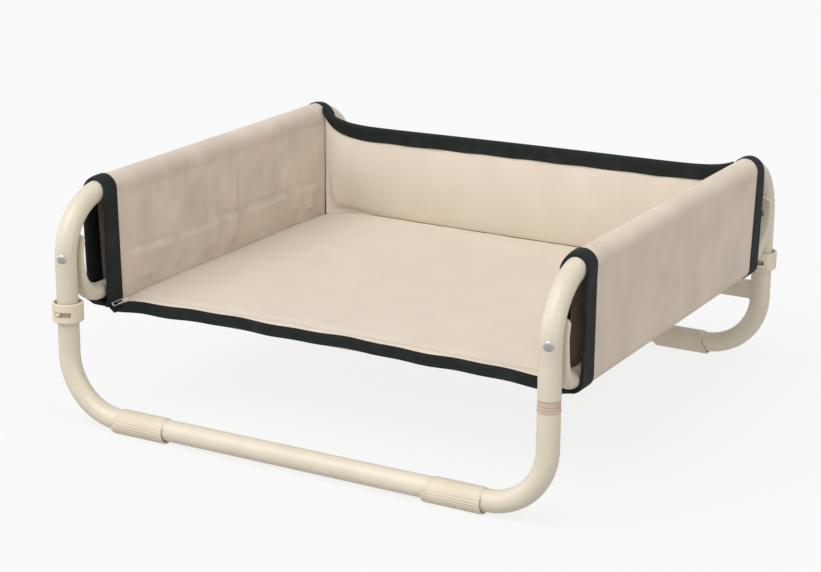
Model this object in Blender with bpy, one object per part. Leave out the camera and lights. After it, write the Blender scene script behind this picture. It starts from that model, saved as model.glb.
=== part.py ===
"""Folding outdoor dog bed: two tube side frames, two swinging U legs, and a fabric seat with three walls.

Units are metres, +Z is up and +X is the bed's right side, seen from the open front at -Y. The right and
the left side are one design turned half round about Z, and so are the front and the rear leg. Each leg
hangs on a swivel under one side frame and carries the other in a split collar with a turning latch.
"""

from math import acos, asin, cos, degrees, pi, radians, sin, sqrt

import bmesh
import bpy
import numpy as np

for leftover in list(bpy.data.objects):
    bpy.data.objects.remove(leftover)

# Driving dimensions
PITCH = 0.544  # leg to leg, axis to axis, the same along X and Y
HALF = PITCH / 2
TUBE_R = 0.011
TUBE_WALL = 0.0012
BEND_R = 0.062
BAR_Z = 0.0139  # axis of the legs' ground bars
TOP_Z = 0.2359  # axis of the side frames' top tubes
FIT = 0.0003  # gap between pieces that touch

# Swivel between a leg and the side frame above it
LEG_TOP = 0.1108
BUSH_BOTTOM = LEG_TOP + FIT
BUSH_TOP = 0.1192
SIDE_END = BUSH_TOP + FIT
SWIVEL_PIN_R = TUBE_R - TUBE_WALL - FIT
SWIVEL_PIN_BORE = 0.007
SWIVEL_PIN_LOW = 0.082
SWIVEL_PIN_HIGH = 0.150
BUSH_GROOVE = 0.0005
BUSH_GROOVE_HIGH = 0.0007
BUSH_GROOVE_PLACES = (0.30, 0.70)  # shares of the bush's height

# Split collar that a leg's free end carries, and its latch
DOCK_LEG_TOP = 0.1084
COLLAR_R = 0.016
COLLAR_BORE = 0.0135
COLLAR_NECK_R = 0.0119
COLLAR_LOW = 0.1112
COLLAR_FLOOR = 0.1130
COLLAR_TOP = 0.1310
COLLAR_EDGE = 0.0008
COLLAR_TO_TUBE = 0.0006  # clearances above the collar's floor
COLLAR_TO_KEEPER = 0.0008
COLLAR_TO_MOUTH = 0.0002
PLUG_DEEP = 0.0105
EXIT_TILT = radians(10.3)  # the side frame leaves the collar a little sideways, because the bed also narrows
MOUTH_HALF = 0.0117
KEEPER_HALF = 0.0113
KEEPER_WEB_LOW = 0.1242
KEEPER_WEB_HIGH = 0.1275
KEEPER_INSIDE = 0.002
KEEPER_SLOT = (radians(4), radians(38))
SLOT_Z = 0.1203
SLOT_HALF = 0.0027
SLOT_PLAY = 0.0005
LATCH_TURN = radians(40)
LATCH_IN = 0.0115
LATCH_OUT = 0.0131
LATCH_LOW = 0.1140
LATCH_HIGH = 0.1234
LATCH_SHORT = 0.01  # radians that the ring falls short of a half circle at each end
STUD_ANGLE = radians(-93)
STUD_R = 0.0022
STUD_END = 0.0170
STUD_DOME = 0.0008

# Seat rail, a tube with its ends pressed flat, turned up and riveted to the legs of the side frame
RAIL_R = 0.009
RAIL_Z = 0.129
RAIL_BEND = 0.040
PLATE_HALF_WIDE = 0.0128
PLATE_HALF_THICK = 0.0017
PLATE_TOP = 0.196
PLATE_Y = HALF - TUBE_R - FIT - PLATE_HALF_THICK
PLATE_ROUND = 5  # exponent of the plate's rounded outline, where 2 is an ellipse
PRESS_START = 25  # degrees of the rail's bend where the pressing starts, and where it is whole
PRESS_WHOLE = 87
RIVET_Z = 0.176
RIVET_SHANK = 0.0024
RIVET_HEAD_R = 0.0049
RIVET_HEAD_HIGH = 0.0022
RIVET_TAIL_R = 0.0040
RIVET_TAIL_HIGH = 0.0014

# Brace between the rear legs, and the feet
BRACE_R = 0.0105
BRACE_Z = 0.084
FOOT_LONG = 0.058
FOOT_X = 0.180  # middle of a foot, from the bed's centre
FOOT_BORE = TUBE_R + FIT
FOOT_R = 0.0131
FOOT_DROP = 0.0011
FOOT_RIB = 0.0004
FOOT_SIDES = 40
FOOT_RIBBED = (radians(18), radians(88))  # how far round from the lowest line the ribs start and end

# Fabric
SWIVEL_CLOTH_END = 0.2280  # a side wall's two ends
DOCK_CLOTH_END = 0.2232
CLOTH = 0.0010
WALL_BORE_TOP = TUBE_R + 0.0018
WALL_BORE_LOW = RAIL_R + 0.0018
WALL_SEAM_ROUND = 6  # exponent of the wall's lower inside corner, where the seat is sewn on
TAPE = 0.0009
TAPE_WIDE = 0.0215
SEAT_HALF_X = 0.2565
SEAT_HALF_Y = 0.2095
SEAT_FRONT_BOW = 0.0100
SEAT_BACK_BELLY = 0.0200
SEAT_CORNER = 0.022  # share of the width lost at the corners
SEAT_EDGE_HALF_X = SEAT_HALF_X * (1 - SEAT_CORNER)
SEAT_TOP = 0.1190
SEAT_THICK = 0.0095
SEAT_RIM_HALF = 0.0012
SEAT_SAG = 0.0050
SEAT_SAG_AT_EDGE = 0.2
SEAT_SQUARE = 6
STRAP_END = 0.2560
STRAP_AT_SLIDER = -0.2515
STRAP_WAVE = 0.0010
STRAP_WAVES = 2.75
STRAP_THICK = 0.0016
STRAP_WIDE = 0.0135
STRAP_MID = 0.1135
REAR_HALF_X = 0.2560
REAR_Y = 0.2028
REAR_THICK = 0.0050
REAR_BELLY = 0.0225
REAR_SQUARE = 24  # how square the bottom edge turns at the corners
REAR_TAKEN_UP = 0.42  # share of the belly that is gone at the top edge
REAR_LOW = 0.1178
REAR_TOP = 0.2318
REAR_TILT = 0.0040
REAR_DIP = 0.0020
REAR_PEAK = 0.2480
REAR_PEAK_REACH = 0.018
BAND_HIGH = 0.0172
SLIDER_HALF_X = 0.0018
SLIDER_HALF_Y = 0.0103
SLIDER_WIRE = 0.0006
SLIDER_CORNER = 0.6
SLIDER_PLACE = (0.2547, 0.2125, 0.1168)  # on the left side's anchor, so turned half round
SLIDER_TILT = radians(45)

TUBE_SIDES = 14
BEND_STEPS = 6
ROUND_SIDES = 32


def material(name, colour, roughness, metallic=0.0):
    made = bpy.data.materials.new(name)
    made.use_nodes = True
    surface = made.node_tree.nodes["Principled BSDF"]
    surface.inputs["Base Color"].default_value = (*colour, 1.0)
    surface.inputs["Roughness"].default_value = roughness
    surface.inputs["Metallic"].default_value = metallic
    return made


powder_coat = material("ivory powder coat", (0.72, 0.65, 0.50), 0.38)
moulded = material("beige moulded plastic", (0.74, 0.62, 0.47), 0.45)
bright_steel = material("bright steel", (0.80, 0.80, 0.80), 0.22, 1.0)
dull_steel = material("dull steel", (0.55, 0.55, 0.54), 0.40, 1.0)
canvas = material("sand canvas", (0.72, 0.62, 0.50), 0.90)
webbing = material("black webbing", (0.018, 0.024, 0.022), 0.85)


def node(name, mesh, coat, parent, smooth=35):
    """One named piece, shaded smooth except across edges sharper than the angle."""
    if not mesh.materials:
        mesh.materials.append(coat)
        mesh.shade_smooth()
        mesh.set_sharp_from_angle(angle=radians(smooth))
    made = bpy.data.objects.new(name, mesh)
    bpy.context.scene.collection.objects.link(made)
    made.parent = parent
    return made


def anchor(name, place, turn=0.0, parent=None):
    """An empty that a body's pieces hang on, on the axis that the body turns about."""
    made = bpy.data.objects.new(name, None)
    made.empty_display_size = 0.03
    made.location = place
    made.rotation_euler = (0, 0, turn)
    made.parent = parent
    bpy.context.scene.collection.objects.link(made)
    return made


def cutter(name, mesh, parent=None):
    made = bpy.data.objects.new(name, mesh)
    made.hide_render = True
    made.display_type = "WIRE"
    made.parent = parent
    bpy.context.scene.collection.objects.link(made)
    return made


def cut(piece, tool, operation="DIFFERENCE"):
    change = piece.modifiers.new(tool.name, "BOOLEAN")
    change.operation = operation
    change.object = tool


def skin(name, rings, cyclic=False):
    """A closed mesh through equal rings of points, capped at both ends or joined last to first."""
    rings = np.asarray(rings, float)
    count, around, _ = rings.shape
    points = rings.reshape(-1, 3)
    faces = []
    for i in range(count if cyclic else count - 1):
        here = i * around
        there = (i + 1) % count * around
        for j in range(around):
            k = (j + 1) % around
            faces.append((here + j, here + k, there + k, there + j))
    if not cyclic:
        faces.append(tuple(range(around)))
        faces.append(tuple(range((count - 1) * around, count * around)))
    mesh = bpy.data.meshes.new(name)
    mesh.from_pydata(points.tolist(), [], faces)
    facing_out(mesh)
    return mesh


def facing_out(mesh):
    shape = bmesh.new()
    shape.from_mesh(mesh)
    bmesh.ops.recalc_face_normals(shape, faces=shape.faces)
    shape.to_mesh(mesh)
    shape.free()


def slab(name, front, back):
    """A closed sheet between two grids of points, joined all round their edges."""
    rows, columns, _ = front.shape
    points = np.concatenate([front.reshape(-1, 3), back.reshape(-1, 3)])
    behind = rows * columns
    faces = []
    for i in range(rows - 1):
        for j in range(columns - 1):
            corner = i * columns + j
            quad = (corner, corner + 1, corner + columns + 1, corner + columns)
            faces.append(quad)
            faces.append(tuple(behind + index for index in reversed(quad)))
    rim = [j for j in range(columns)]
    rim += [i * columns + columns - 1 for i in range(1, rows)]
    rim += [(rows - 1) * columns + j for j in range(columns - 2, -1, -1)]
    rim += [i * columns for i in range(rows - 2, 0, -1)]
    for here, there in zip(rim, rim[1:] + rim[:1]):
        faces.append((there, here, behind + here, behind + there))
    mesh = bpy.data.meshes.new(name)
    mesh.from_pydata(points.tolist(), [], faces)
    facing_out(mesh)
    return mesh


def turned(name, profile, sides=ROUND_SIDES):
    """A solid turned about Z from a closed (radius, height) outline, which may start and end on the axis."""
    shape = bmesh.new()
    line = [shape.verts.new((radius, 0, height)) for radius, height in profile]
    on_axis = profile[0][0] == 0
    edges = [shape.edges.new(pair) for pair in zip(line, line[1:])]
    if not on_axis:
        edges.append(shape.edges.new((line[-1], line[0])))
    bmesh.ops.spin(
        shape, geom=line + edges, axis=(0, 0, 1), cent=(0, 0, 0), steps=sides, angle=2 * pi
    )
    bmesh.ops.remove_doubles(shape, verts=shape.verts, dist=1e-6)
    bmesh.ops.recalc_face_normals(shape, faces=shape.faces)
    mesh = bpy.data.meshes.new(name)
    shape.to_mesh(mesh)
    shape.free()
    return mesh


def box(name, low, high):
    """A plain box between two opposite corners."""
    shape = bmesh.new()
    bmesh.ops.create_cube(shape, size=1.0)
    for vert in shape.verts:
        vert.co = [a + (b - a) * (c + 0.5) for a, b, c in zip(low, high, vert.co)]
    mesh = bpy.data.meshes.new(name)
    shape.to_mesh(mesh)
    shape.free()
    return mesh


def sector(name, inner, outer, low, high, start, end, steps):
    """A piece of a ring about Z, between two angles."""
    rings = []
    for angle in np.linspace(start, end, steps + 1):
        corners = ((inner, low), (outer, low), (outer, high), (inner, high))
        rings.append([(r * cos(angle), r * sin(angle), z) for r, z in corners])
    return skin(name, rings)


def bent_line(corners, radius, steps=BEND_STEPS):
    """Points and directions along a line in a plane, with each inner corner rounded to one radius."""
    corners = [np.array(corner, float) for corner in corners]
    points = [corners[0]]
    ways = [unit(corners[1] - corners[0])]
    for before, corner, after in zip(corners, corners[1:], corners[2:]):
        arrive = unit(corner - before)
        leave = unit(after - corner)
        centre = corner + radius * (leave - arrive)
        for share in np.linspace(0, 1, steps + 1):
            turn = share * pi / 2
            points.append(centre + radius * (arrive * sin(turn) - leave * cos(turn)))
            ways.append(arrive * cos(turn) + leave * sin(turn))
    points.append(corners[-1])
    ways.append(unit(corners[-1] - corners[-2]))
    return np.array(points), np.array(ways)


def unit(vector):
    return vector / np.linalg.norm(vector)


def tube_along(name, line, spread, wall, radius=TUBE_R):
    """A hollow round tube along a plane line. spread turns plane points into (x, y, z) rows."""
    points, ways = line
    normals = np.stack([-ways[:, 1], ways[:, 0]], axis=1)
    angles = np.arange(TUBE_SIDES) * 2 * pi / TUBE_SIDES
    rings = []
    for size, order in ((radius, 1), (radius - wall, -1)):
        for point, normal in list(zip(points, normals))[::order]:
            rings.append(
                [spread(point + size * cos(a) * normal, size * sin(a)) for a in angles]
            )
    return skin(name, rings, cyclic=True)


# The bodies. A side's pieces are drawn for the right side, a leg's for the front leg with its swivel at
# the origin, and the half turn of the other anchor makes the left side and the rear leg.
right_side = anchor("right_side", (0, 0, 0))
left_side = anchor("left_side", (0, 0, 0), pi)
front_leg = anchor("front_leg", (HALF, -HALF, 0))
rear_leg = anchor("rear_leg", (-HALF, HALF, 0), pi)
front_latch = anchor("front_latch", (-PITCH, 0, 0), 0.0, front_leg)
rear_latch = anchor("rear_latch", (-PITCH, 0, 0), 0.0, rear_leg)
sides = {"right": right_side, "left": left_side}
legs = {"front": front_leg, "rear": rear_leg}
latches = {"front": front_latch, "rear": rear_latch}


# Side frames: one tube each, from the swivel up, over the top and down into the other leg's collar
def in_side(point, out):
    return (HALF + out, point[0], point[1])


dock_end = COLLAR_FLOOR + COLLAR_TO_TUBE
side_line = bent_line(
    [(-HALF, SIDE_END), (-HALF, TOP_Z), (HALF, TOP_Z), (HALF, dock_end)], BEND_R
)
side_tube = tube_along("side tube", side_line, in_side, TUBE_WALL)
hole_long = 2 * TUBE_R
rivet_hole = turned(
    "rivet hole",
    [
        (0, -hole_long),
        (RIVET_SHANK + FIT, -hole_long),
        (RIVET_SHANK + FIT, hole_long),
        (0, hole_long),
    ],
    12,
)


# Seat rails: round along the bed, drawn out flat through the bend, and upright flat plates at the ends
def rail_line():
    """The rail's line in the side's plane. Its plates follow the inside of the side tube's bends."""
    hug = BEND_R - TUBE_R - FIT - PLATE_HALF_THICK
    bend_low = TOP_Z - BEND_R
    plate = []
    for turn in np.linspace(asin((PLATE_TOP - bend_low) / hug), 0, 3):
        place = (BEND_R - HALF - hug * cos(turn), bend_low + hug * sin(turn))
        plate.append((place, (-sin(turn), -cos(turn))))
    points, ways = bent_line(
        [(-PLATE_Y, bend_low), (-PLATE_Y, RAIL_Z), (0, RAIL_Z)], RAIL_BEND, 6
    )
    half = plate + list(zip(points[1:-1].tolist(), ways[1:-1].tolist()))
    other = [((-y, z), (way_y, -way_z)) for (y, z), (way_y, way_z) in reversed(half)]
    return half + other


def rail_rings(bore):
    rings = []
    for point, way in rail_line():
        lift = (point[1] - RAIL_Z) / RAIL_BEND
        steep = degrees(acos(max(1 - lift, 0)))
        share = min(max((steep - PRESS_START) / (PRESS_WHOLE - PRESS_START), 0), 1)
        flat = share * share * (3 - 2 * share)
        wide = RAIL_R + flat * (PLATE_HALF_WIDE - RAIL_R) - bore
        thick = RAIL_R + flat * (PLATE_HALF_THICK - RAIL_R) - bore
        square = 2 + (PLATE_ROUND - 2) * flat
        normal = np.array([-way[1], way[0]])
        ring = []
        for index in range(TUBE_SIDES):
            angle = index * 2 * pi / TUBE_SIDES
            across = abs(cos(angle)) ** (2 / square) * np.sign(cos(angle))
            along = abs(sin(angle)) ** (2 / square) * np.sign(sin(angle))
            ring.append(in_side(point + thick * across * normal, wide * along))
        rings.append(ring)
    return rings


rail = skin("seat rail", rail_rings(0) + rail_rings(TUBE_WALL)[::-1], cyclic=True)

# Rivets: a domed head outside the leg, a smaller clenched head behind the flat end of the rail
rivet_outer = TUBE_R + FIT
plate_back = TUBE_R + 4 * FIT + 2 * PLATE_HALF_THICK
rivet_profile = [(0, -rivet_outer - RIVET_HEAD_HIGH)]
for step in range(1, 5):
    turn = step * pi / 8
    rivet_profile.append(
        (RIVET_HEAD_R * sin(turn), -rivet_outer - RIVET_HEAD_HIGH * cos(turn))
    )
rivet_profile += [
    (RIVET_SHANK, -rivet_outer),
    (RIVET_SHANK, plate_back),
    (RIVET_TAIL_R, plate_back),
    (RIVET_TAIL_R * 0.8, plate_back + RIVET_TAIL_HIGH * 0.8),
    (RIVET_TAIL_R * 0.3, plate_back + RIVET_TAIL_HIGH),
    (0, plate_back + RIVET_TAIL_HIGH),
]
rivet = turned("rivet", rivet_profile, 12)

# Keeper: the part of the collar that stays on the side frame's end and closes the collar's mouth
keeper_low = COLLAR_FLOOR + COLLAR_TO_KEEPER
keeper_outline = [
    (TUBE_R + FIT, KEEPER_WEB_LOW),
    (COLLAR_BORE, KEEPER_WEB_LOW),
    (COLLAR_BORE, keeper_low),
    (COLLAR_R, keeper_low),
    (COLLAR_R, COLLAR_TOP - COLLAR_EDGE),
    (COLLAR_R - COLLAR_EDGE, COLLAR_TOP),
    (COLLAR_BORE + COLLAR_EDGE / 2, COLLAR_TOP),
    (COLLAR_BORE, COLLAR_TOP - COLLAR_EDGE),
    (COLLAR_BORE, KEEPER_WEB_HIGH),
    (TUBE_R + FIT, KEEPER_WEB_HIGH),
]
keeper = turned("keeper", keeper_outline)
keeper_share = box(
    "keeper share",
    (KEEPER_INSIDE, -KEEPER_HALF, LEG_TOP),
    (2 * COLLAR_R, KEEPER_HALF, COLLAR_TOP + COLLAR_R),
)
keeper_slot = sector(
    "keeper slot",
    COLLAR_BORE - 0.001,
    COLLAR_R + 0.002,
    SLOT_Z - SLOT_HALF,
    SLOT_Z + SLOT_HALF,
    *KEEPER_SLOT,
    6,
)
end_plug = turned(
    "end plug",
    [
        (0, dock_end),
        (TUBE_R - TUBE_WALL - FIT, dock_end),
        (TUBE_R - TUBE_WALL - FIT, dock_end + PLUG_DEEP),
        (0, dock_end + PLUG_DEEP),
    ],
    TUBE_SIDES,
)


# Side walls: a fabric sleeve round the top tube and the rail, taped at both ends
straight = HALF - BEND_R


def tube_drop(y):
    """How far the top of the tube has bent down at a place beyond its straight length."""
    beyond = max(abs(y) - straight, 0)
    outer = BEND_R + TUBE_R
    return outer - sqrt(outer**2 - beyond**2)


def wall_loop(away, y):
    """Points round the sleeve at a distance outside the cloth's inner face, as (x, z).

    The loop goes over the top tube, straight down inside to a nearly square corner, where the seat is
    sewn on, then round under the rail and up outside.
    """
    top = TOP_Z - tube_drop(y)
    wide = WALL_BORE_TOP + away
    low = WALL_BORE_LOW + away
    lean = asin((WALL_BORE_LOW - WALL_BORE_TOP) / (top - RAIL_Z))
    loop = []
    for angle in np.linspace(lean, pi, 10):
        loop.append((HALF + wide * cos(angle), top + wide * sin(angle)))
    for angle in np.linspace(0, pi / 2, 7):
        across = cos(angle) ** (2 / WALL_SEAM_ROUND)
        down = sin(angle) ** (2 / WALL_SEAM_ROUND)
        loop.append((HALF - wide * across, RAIL_Z - low * down))
    for angle in np.linspace(-pi / 2, lean, 6)[1:]:
        loop.append((HALF + low * cos(angle), RAIL_Z + low * sin(angle)))
    return loop


def wall_band(name, outline):
    """A band round the side wall, from its (distance from the cloth, y) outline."""
    rings = [[(x, y, z) for x, z in wall_loop(away, y)] for away, y in outline]
    return skin(name, rings, cyclic=True)


def layer(away, places):
    """Part of a band's outline, at one distance from the cloth."""
    return [(away, y) for y in places]


def bent_places(side, end):
    """Places from the straight length of the tube to a band's end on its bend."""
    return [side * straight, side * (straight + end) / 2, side * end]


along_wall = bent_places(-1, SWIVEL_CLOTH_END)[::-1] + bent_places(1, DOCK_CLOTH_END)
wall_sleeve = wall_band("wall sleeve", layer(CLOTH, along_wall) + layer(0, along_wall[::-1]))


def end_tape(name, side, cloth_end):
    """Tape folded over one end of the sleeve."""
    start = side * (cloth_end - TAPE_WIDE)
    against = [start] + bent_places(side, cloth_end + FIT)
    outside = [start] + bent_places(side, cloth_end + FIT + TAPE)
    return wall_band(
        name,
        layer(-FIT - TAPE, outside[::-1])
        + layer(-FIT, against)
        + layer(CLOTH + FIT, against[::-1])
        + layer(CLOTH + FIT + TAPE, outside),
    )


swivel_tape = end_tape("swivel end tape", -1, SWIVEL_CLOTH_END)
dock_tape = end_tape("dock end tape", 1, DOCK_CLOTH_END)

ends = {"right": ("front", "rear"), "left": ("rear", "front")}  # the swivel's end, then the dock's
for side, base in sides.items():
    at_swivel, at_dock = ends[side]
    holes = []
    for end, place, turn in ((at_swivel, -HALF, -pi / 2), (at_dock, HALF, pi / 2)):
        piece = node(f"{side}_{end}_rivet", rivet, bright_steel, base)
        piece.location = (HALF, place, RIVET_Z)
        piece.rotation_euler = (turn, 0, 0)
        tool = cutter(f"{side} {end} rivet hole", rivet_hole, base)
        tool.location = piece.location
        tool.rotation_euler = piece.rotation_euler
        holes.append(tool)
    frame = node(f"{side}_side_tube", side_tube, powder_coat, base)
    seat_rail = node(f"{side}_seat_rail", rail, powder_coat, base)
    for tool in holes:
        cut(frame, tool)
        cut(seat_rail, tool)
    node(f"{side}_end_plug", end_plug, moulded, base).location = (HALF, HALF, 0)
    piece = node(f"{side}_dock_keeper", keeper, moulded, base)
    piece.location = (HALF, HALF, 0)
    piece.rotation_euler = (0, 0, -pi / 2 - EXIT_TILT)
    share = cutter(f"{side} keeper share", keeper_share, piece)
    cut(piece, share, "INTERSECT")
    cut(piece, cutter(f"{side} keeper slot", keeper_slot, piece))
    node(f"{side}_wall_sleeve", wall_sleeve, canvas, base)
    node(f"{side}_{at_swivel}_tape", swivel_tape, webbing, base)
    node(f"{side}_{at_dock}_tape", dock_tape, webbing, base)


# Legs: a U of the same tube, with the swivel at the origin and the collar at the far end
def in_leg(point, out):
    return (point[0], out, point[1])


leg_line = bent_line(
    [(0, LEG_TOP), (0, BAR_Z), (-PITCH, BAR_Z), (-PITCH, DOCK_LEG_TOP)], BEND_R
)
leg_tube = tube_along("leg tube", leg_line, in_leg, TUBE_WALL)
swivel_pin = turned(
    "swivel pin",
    [
        (SWIVEL_PIN_BORE, SWIVEL_PIN_LOW),
        (SWIVEL_PIN_R, SWIVEL_PIN_LOW),
        (SWIVEL_PIN_R, SWIVEL_PIN_HIGH),
        (SWIVEL_PIN_BORE, SWIVEL_PIN_HIGH),
    ],
    TUBE_SIDES,
)
bush_outline = [(SWIVEL_PIN_R + FIT, BUSH_BOTTOM), (TUBE_R, BUSH_BOTTOM)]
bush_high = BUSH_TOP - BUSH_BOTTOM
for share in BUSH_GROOVE_PLACES:
    middle = BUSH_BOTTOM + share * bush_high
    bush_outline += [
        (TUBE_R, middle - BUSH_GROOVE_HIGH),
        (TUBE_R - BUSH_GROOVE, middle),
        (TUBE_R, middle + BUSH_GROOVE_HIGH),
    ]
bush_outline += [(TUBE_R, BUSH_TOP), (SWIVEL_PIN_R + FIT, BUSH_TOP)]
swivel_bush = turned("swivel bush", bush_outline, 18)

collar_outline = [
    (0, DOCK_LEG_TOP - PLUG_DEEP),
    (TUBE_R - TUBE_WALL - FIT, DOCK_LEG_TOP - PLUG_DEEP),
    (TUBE_R - TUBE_WALL - FIT, DOCK_LEG_TOP + FIT),
    (COLLAR_NECK_R, DOCK_LEG_TOP + FIT),
    (COLLAR_NECK_R, COLLAR_LOW),
    (COLLAR_R - COLLAR_EDGE, COLLAR_LOW),
    (COLLAR_R, COLLAR_LOW + COLLAR_EDGE),
    (COLLAR_R, COLLAR_TOP - COLLAR_EDGE),
    (COLLAR_R - COLLAR_EDGE, COLLAR_TOP),
    (COLLAR_BORE + COLLAR_EDGE / 2, COLLAR_TOP),
    (COLLAR_BORE, COLLAR_TOP - COLLAR_EDGE),
    (COLLAR_BORE, COLLAR_FLOOR),
    (0, COLLAR_FLOOR),
]
collar = turned("dock collar", collar_outline)
collar_mouth = box(
    "collar mouth",
    (0, -MOUTH_HALF, COLLAR_FLOOR + COLLAR_TO_MOUTH),
    (2 * COLLAR_R, MOUTH_HALF, COLLAR_TOP + COLLAR_R),
)
stud_reach = asin((STUD_R + SLOT_PLAY) / COLLAR_BORE)
collar_slot = sector(
    "collar slot",
    COLLAR_BORE - 0.001,
    COLLAR_R + 0.002,
    SLOT_Z - SLOT_HALF,
    SLOT_Z + SLOT_HALF,
    STUD_ANGLE - stud_reach,
    STUD_ANGLE + LATCH_TURN + stud_reach,
    10,
)
exit_way = pi / 2 - EXIT_TILT
latch_ring = sector(
    "latch ring",
    LATCH_IN,
    LATCH_OUT,
    LATCH_LOW,
    LATCH_HIGH,
    exit_way + pi / 2 + LATCH_SHORT,
    exit_way + 3 * pi / 2 - LATCH_SHORT,
    16,
)
stud = turned(
    "latch stud",
    [
        (0, LATCH_OUT + FIT),
        (STUD_R, LATCH_OUT + FIT),
        (STUD_R, STUD_END - STUD_DOME),
        (STUD_R * 0.8, STUD_END - STUD_DOME * 0.35),
        (STUD_R * 0.4, STUD_END),
        (0, STUD_END),
    ],
    12,
)


def foot_rings():
    """A sleeve that is thick below and thin above, ribbed along the bar and flat where it stands."""
    rings = []
    for x in (-FOOT_LONG / 2, FOOT_LONG / 2):
        outer = []
        inner = []
        for index in range(FOOT_SIDES):
            angle = (index + 0.5) * 2 * pi / FOOT_SIDES - pi / 2
            ribbed = FOOT_RIBBED[0] < abs(angle + pi / 2) < FOOT_RIBBED[1]
            radius = FOOT_R - (FOOT_RIB if ribbed and index % 2 else 0)
            outer.append(
                (x, radius * cos(angle), max(BAR_Z - FOOT_DROP + radius * sin(angle), 0))
            )
            inner.append(
                (x, FOOT_BORE * cos(angle), BAR_Z + FOOT_BORE * sin(angle))
            )
        rings.append((outer, inner))
    (left_out, left_in), (right_out, right_in) = rings
    return [left_out, right_out, right_in, left_in]


foot = skin("foot", foot_rings(), cyclic=True)
for leg, base in legs.items():
    node(f"{leg}_leg_tube", leg_tube, powder_coat, base)
    node(f"{leg}_swivel_pin", swivel_pin, dull_steel, base)
    node(f"{leg}_swivel_bush", swivel_bush, moulded, base)
    piece = node(f"{leg}_dock_collar", collar, moulded, base)
    piece.location = (-PITCH, 0, 0)
    mouth = cutter(f"{leg} collar mouth", collar_mouth, piece)
    mouth.rotation_euler = (0, 0, exit_way)
    cut(piece, mouth)
    cut(piece, cutter(f"{leg} collar slot", collar_slot, piece))
    inner, outer = ("right", "left") if leg == "front" else ("left", "right")
    node(f"{leg}_{inner}_foot", foot, moulded, base).location = (FOOT_X - HALF, 0, 0)
    node(f"{leg}_{outer}_foot", foot, moulded, base).location = (-FOOT_X - HALF, 0, 0)
    node(f"{leg}_latch_ring", latch_ring, moulded, latches[leg])
    piece = node(f"{leg}_latch_stud", stud, moulded, latches[leg])
    piece.location = (0, 0, SLOT_Z)
    piece.rotation_euler = (0, pi / 2, STUD_ANGLE)

# Brace between the rear legs, coped to the legs that it is welded to
brace_line = bent_line([(-PITCH, BRACE_Z), (0, BRACE_Z)], BEND_R)
brace = node(
    "rear_leg_brace",
    tube_along("leg brace", brace_line, in_leg, TUBE_WALL, BRACE_R),
    powder_coat,
    rear_leg,
)
cope_low = BRACE_Z - 2 * BRACE_R
cope_high = BRACE_Z + 2 * BRACE_R
cope = turned(
    "cope",
    [(0, cope_low), (TUBE_R + FIT, cope_low), (TUBE_R + FIT, cope_high), (0, cope_high)],
    TUBE_SIDES,
)
for name, place in (("swivel side", 0), ("dock side", -PITCH)):
    tool = cutter(f"brace cope, {name}", cope, rear_leg)
    tool.location = (place, 0, 0)
    cut(brace, tool)


# Seat: one padded panel with drawn-in edges and corners, which sags a little between the rails
def eased(count):
    """Places from -1 to 1, closer together towards both ends."""
    return np.sin(np.linspace(-pi / 2, pi / 2, count))


def bowed(x, power):
    """Share of an edge's bow at a place along it: none at the seat's corners, whole in the middle."""
    return 1 - np.minimum(abs(x) / SEAT_EDGE_HALF_X, 1) ** power


def seat_front(x):
    """Place of the seat's front edge, which the strap draws in between its corners."""
    return SEAT_FRONT_BOW * bowed(x, 2) - SEAT_HALF_Y


def seat_back(x):
    """Place of the seat's rear edge, which goes straight back at the corners and then across."""
    return SEAT_HALF_Y + SEAT_BACK_BELLY * bowed(x, REAR_SQUARE)


def seat_grids():
    u, v = np.meshgrid(eased(17), eased(13), indexing="ij")
    fullness = ((1 - u**SEAT_SQUARE) * (1 - v**SEAT_SQUARE)) ** 0.5
    sag = SEAT_SAG * (1 - u**2) * (1 - (1 - SEAT_SAG_AT_EDGE) * v**2)
    middle = SEAT_TOP - SEAT_THICK / 2 - sag
    half = SEAT_RIM_HALF + (SEAT_THICK / 2 - SEAT_RIM_HALF) * fullness
    x = SEAT_HALF_X * u * (1 - SEAT_CORNER * v**8)
    front = seat_front(SEAT_EDGE_HALF_X * u)
    y = front + (1 + v) / 2 * (seat_back(SEAT_EDGE_HALF_X * u) - front)
    top = np.stack([x, y, middle + half], axis=-1)
    under = np.stack([x, y, middle - half], axis=-1)
    return top, under


node("seat_panel", slab("seat panel", *seat_grids()), canvas, right_side, 60)


# Rear wall: a panel hung between the side walls, bellied backwards, with a taped top edge
def rear_top(x):
    """Height of the rear wall's top edge, which climbs to the side walls at both ends."""
    u = x / REAR_HALF_X
    height = REAR_TOP + REAR_TILT * u - REAR_DIP * (1 - u**2)
    climb = np.exp((abs(x) - REAR_HALF_X) / REAR_PEAK_REACH)
    return height + (REAR_PEAK - height) * climb


def rear_low(x):
    """Height of the rear wall's bottom edge, which follows the seat's sag."""
    return REAR_LOW - SEAT_SAG * SEAT_SAG_AT_EDGE * (1 - (x / REAR_HALF_X) ** 2)


def rear_middle(x, rise):
    """How far back the panel's middle layer lies, by place along the bed and share of its height."""
    at_top = (1 - REAR_TAKEN_UP) * (1 - (x / REAR_HALF_X) ** 2)
    lower = (1 - rise) ** 2
    return REAR_Y + REAR_BELLY * (lower * bowed(x, REAR_SQUARE) + (1 - lower) * at_top)


def rear_grids():
    u, rise = np.meshgrid(eased(19), np.linspace(0, 1, 7), indexing="ij")
    x = REAR_HALF_X * u
    top = rear_top(x) - FIT
    z = rear_low(x) + rise * (top - rear_low(x))
    middle = rear_middle(x, rise)
    front = np.stack([x, middle - REAR_THICK / 2, z], axis=-1)
    back = np.stack([x, middle + REAR_THICK / 2, z], axis=-1)
    return front, back


node("rear_panel", slab("rear panel", *rear_grids()), canvas, right_side, 60)


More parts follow.
